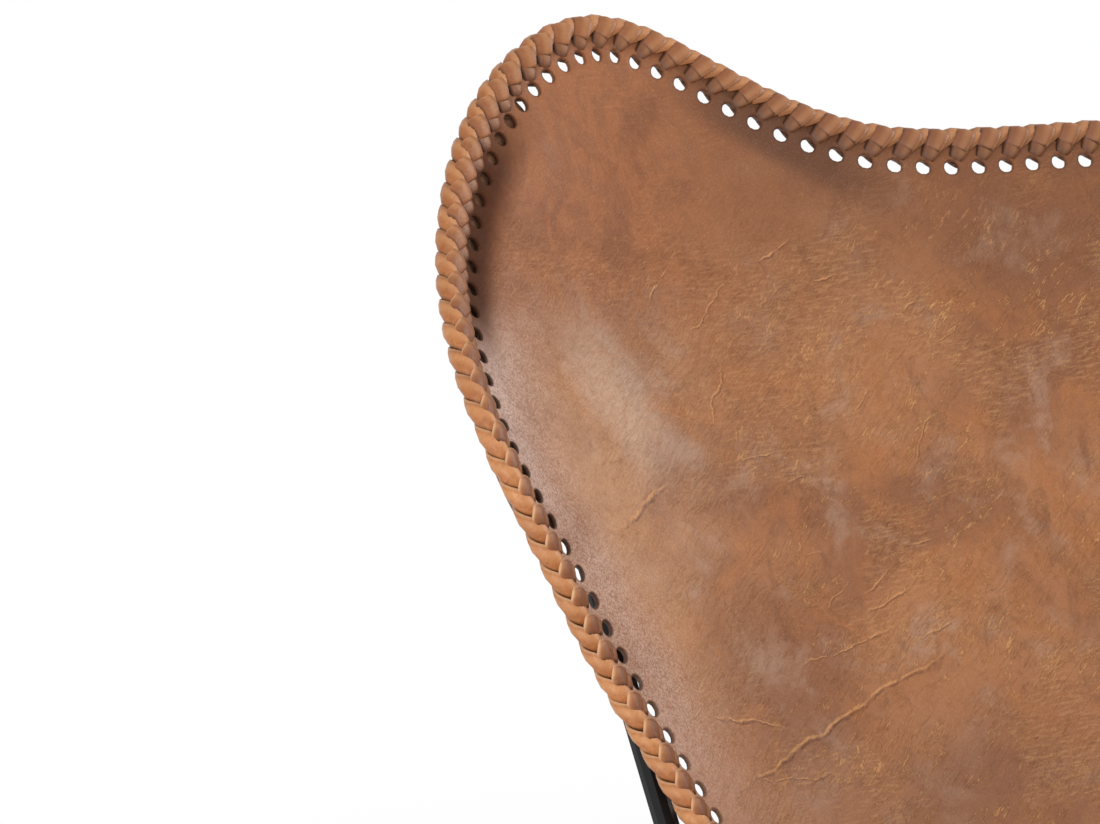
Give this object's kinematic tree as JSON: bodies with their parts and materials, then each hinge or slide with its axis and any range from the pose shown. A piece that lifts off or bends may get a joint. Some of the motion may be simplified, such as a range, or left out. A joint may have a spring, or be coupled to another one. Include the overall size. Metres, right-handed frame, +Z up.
{
  "type": "butterfly sling chair",
  "caption": "Low lounge chair with one laced tan leather hide hung by pockets on a bolted frame of bent black steel tube",
  "frame": {"origin": "middle of the chair's footprint box, on the floor", "axes": "X to the sitter's left and right (+X is the right of the picture), -Y the way the chair faces, +Z up"},
  "size_m": [0.7992, 0.8461, 0.906],
  "materials": {
    "hide_leather": "waxed pull-up leather, tan, mottled, with creases",
    "lacing_leather": "flat cut strips, orange tan, pale cut edges",
    "pocket_leather": "flesh side out, matt brown",
    "black_coat": "satin black powder coat",
    "black_steel": "blackened steel hardware",
    "plain_steel": "plain turned steel",
    "black_plastic": "matt black nylon"
  },
  "bodies": {
    "root": {"hide_panel": "hide_leather", "edge_lacing_back": "lacing_leather", "edge_lacing_left": "lacing_leather", "edge_lacing_front": "lacing_leather", "edge_lacing_right": "lacing_leather", "pocket_back_left": "pocket_leather", "pocket_back_right": "pocket_leather", "pocket_front_left": "pocket_leather", "pocket_front_right": "pocket_leather", "ear_tube_back_left": "black_coat", "ear_tube_back_right": "black_coat", "ear_tube_front_left": "black_coat", "ear_tube_front_right": "black_coat", "foot_tube_back_left": "black_coat", "foot_tube_back_right": "black_coat", "foot_tube_front_left": "black_coat", "foot_tube_front_right": "black_coat", "joint_plug_back_left_side": "plain_steel", "joint_screw_back_left_side": "black_steel", "joint_plug_back_left_cross": "plain_steel", "joint_screw_back_left_cross": "black_steel", "joint_plug_back_right_side": "plain_steel", "joint_screw_back_right_side": "black_steel", "joint_plug_back_right_cross": "plain_steel", "joint_screw_back_right_cross": "black_steel", "joint_plug_front_left_side": "plain_steel", "joint_screw_front_left_side": "black_steel", "joint_plug_front_left_cross": "plain_steel", "joint_screw_front_left_cross": "black_steel", "joint_plug_front_right_side": "plain_steel", "joint_screw_front_right_side": "black_steel", "joint_plug_front_right_cross": "plain_steel", "joint_screw_front_right_cross": "black_steel", "crossing_bolt_back": "black_steel", "crossing_spacer_back": "black_plastic", "crossing_nut_back": "black_steel", "crossing_bolt_left": "black_steel", "crossing_spacer_left": "black_plastic", "crossing_nut_left": "black_steel", "crossing_bolt_front": "black_steel", "crossing_spacer_front": "black_plastic", "crossing_nut_front": "black_steel", "crossing_bolt_right": "black_steel", "crossing_spacer_right": "black_plastic", "crossing_nut_right": "black_steel", "floor_glide_back_left": "black_plastic", "floor_glide_back_right": "black_plastic", "floor_glide_front_left": "black_plastic", "floor_glide_front_right": "black_plastic"}
  },
  "joints": []
}
